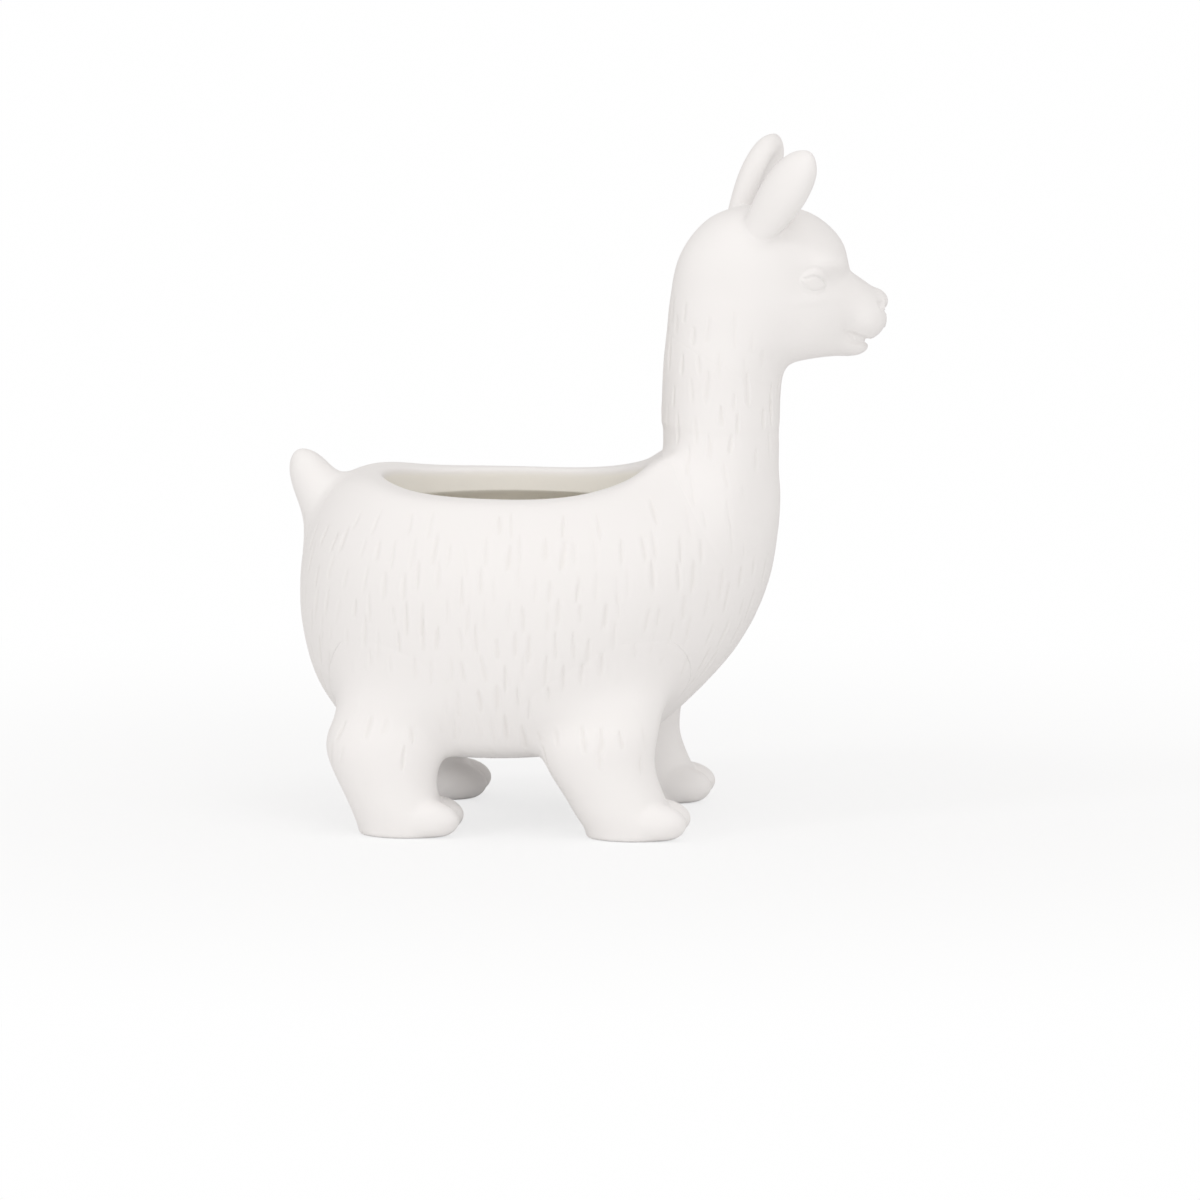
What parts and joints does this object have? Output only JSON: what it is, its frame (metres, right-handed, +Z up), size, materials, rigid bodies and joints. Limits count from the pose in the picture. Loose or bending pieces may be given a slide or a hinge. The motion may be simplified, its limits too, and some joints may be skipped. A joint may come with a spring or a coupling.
{
  "type": "animal planter",
  "caption": "Alpaca-shaped ceramic plant pot with an open oval mouth in its back, standing on split feet.",
  "frame": {"origin": "on the surface that the four feet stand on, under the middle of the bounding box", "axes": "+X forward, from the tail to the nose, +Y to the animal's left, +Z up"},
  "size_m": [0.1306, 0.078, 0.1484],
  "materials": {
    "bisque": "matt"
  },
  "bodies": {
    "root": {"pot_body": "bisque", "neck": "bisque", "head": "bisque", "left_ear": "bisque", "right_ear": "bisque", "tail": "bisque", "left_hind_leg": "bisque", "right_hind_leg": "bisque", "left_front_leg": "bisque", "right_front_leg": "bisque"}
  },
  "joints": []
}
